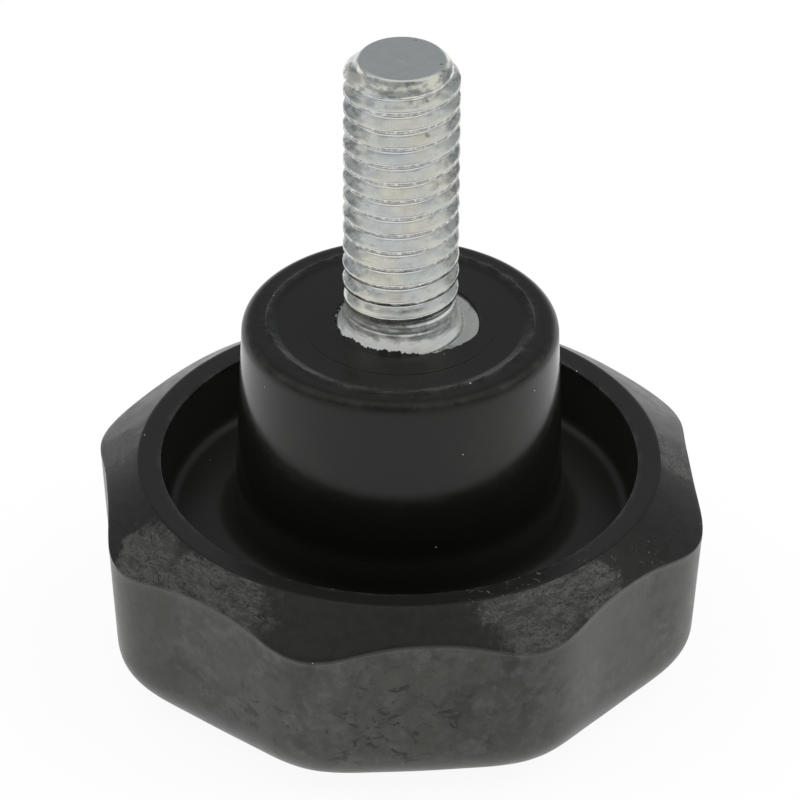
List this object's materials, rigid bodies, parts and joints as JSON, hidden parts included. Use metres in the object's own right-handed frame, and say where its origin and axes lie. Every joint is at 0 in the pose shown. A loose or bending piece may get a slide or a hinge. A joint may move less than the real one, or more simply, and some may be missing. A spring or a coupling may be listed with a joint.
{
  "type": "star knob",
  "caption": "Lobed star knob in moulded black plastic with a raised hub, a ring-shaped trough round it and a steel threaded stud.",
  "frame": {"origin": "centre of the flat standing face, under the grip", "axes": "+Z along the stud's axis, away from the grip; +X through the tip of one lobe"},
  "size_m": [0.0318, 0.0318, 0.0341],
  "materials": {
    "moulding": "pressed thermoset, glossy with matte patches",
    "plated_steel": "bright zinc plating"
  },
  "bodies": {
    "root": {"knob_body": "moulding", "threaded_stud": "plated_steel"}
  },
  "joints": []
}
